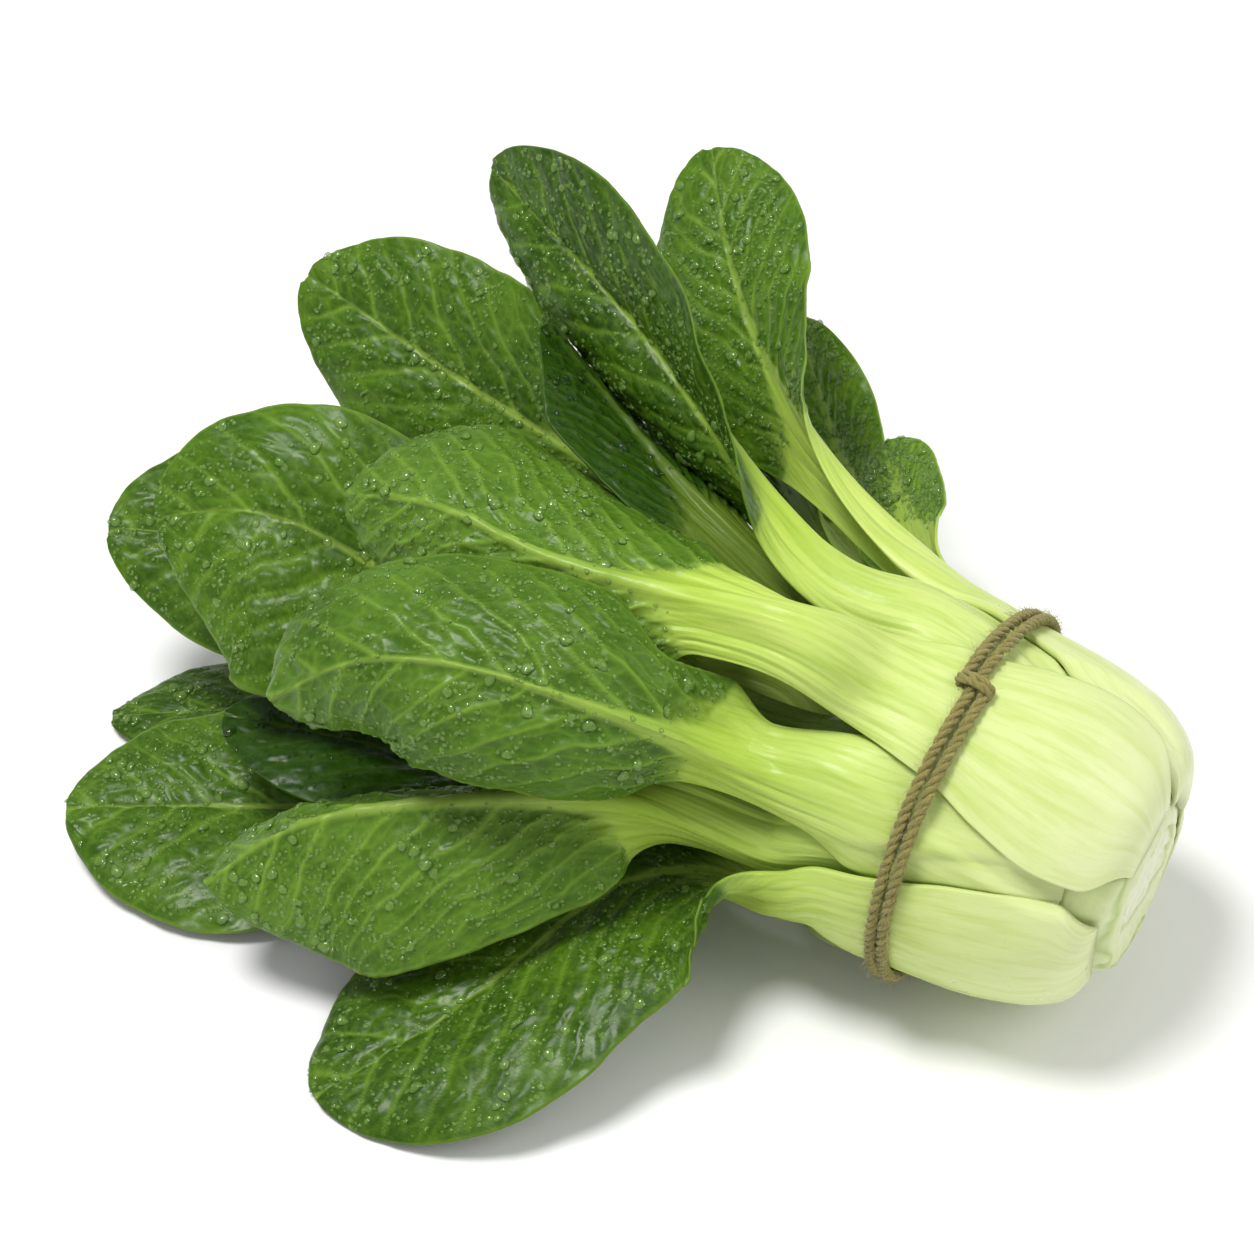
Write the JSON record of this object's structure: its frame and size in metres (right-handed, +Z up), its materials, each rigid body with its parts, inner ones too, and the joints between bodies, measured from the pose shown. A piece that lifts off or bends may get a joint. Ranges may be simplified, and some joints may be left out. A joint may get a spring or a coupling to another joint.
{
  "type": "bok choy",
  "caption": "Bunch of bok choy lying on its side, pale fleshy stalks tied with jute twine and green blades fanned out.",
  "frame": {"origin": "on the surface the bunch lies on, under the middle of its bounding box", "axes": "+Z up, +X towards the cut end of the stem, -X towards the leaf tips; seen from -Y the leaf tips are on the left"},
  "size_m": [0.2382, 0.216, 0.13],
  "materials": {
    "stem": "freshly cut",
    "outer_leaf": "moist, smooth plant skin",
    "second_leaf": "moist, smooth plant skin",
    "third_leaf": "moist, smooth plant skin",
    "heart_leaf": "moist, smooth plant skin",
    "twine": "twisted jute"
  },
  "bodies": {
    "root": {"stem": "stem", "outer_leaf_1": "outer_leaf", "outer_leaf_2": "outer_leaf", "outer_leaf_3": "outer_leaf", "outer_leaf_4": "outer_leaf", "outer_leaf_5": "outer_leaf", "second_leaf_1": "second_leaf", "second_leaf_2": "second_leaf", "second_leaf_3": "second_leaf", "second_leaf_4": "second_leaf", "second_leaf_5": "second_leaf", "third_leaf_1": "third_leaf", "third_leaf_2": "third_leaf", "third_leaf_3": "third_leaf", "third_leaf_4": "third_leaf", "third_leaf_5": "third_leaf", "third_leaf_6": "third_leaf", "heart_leaf_1": "heart_leaf", "heart_leaf_2": "heart_leaf", "twine": "twine"}
  },
  "joints": []
}
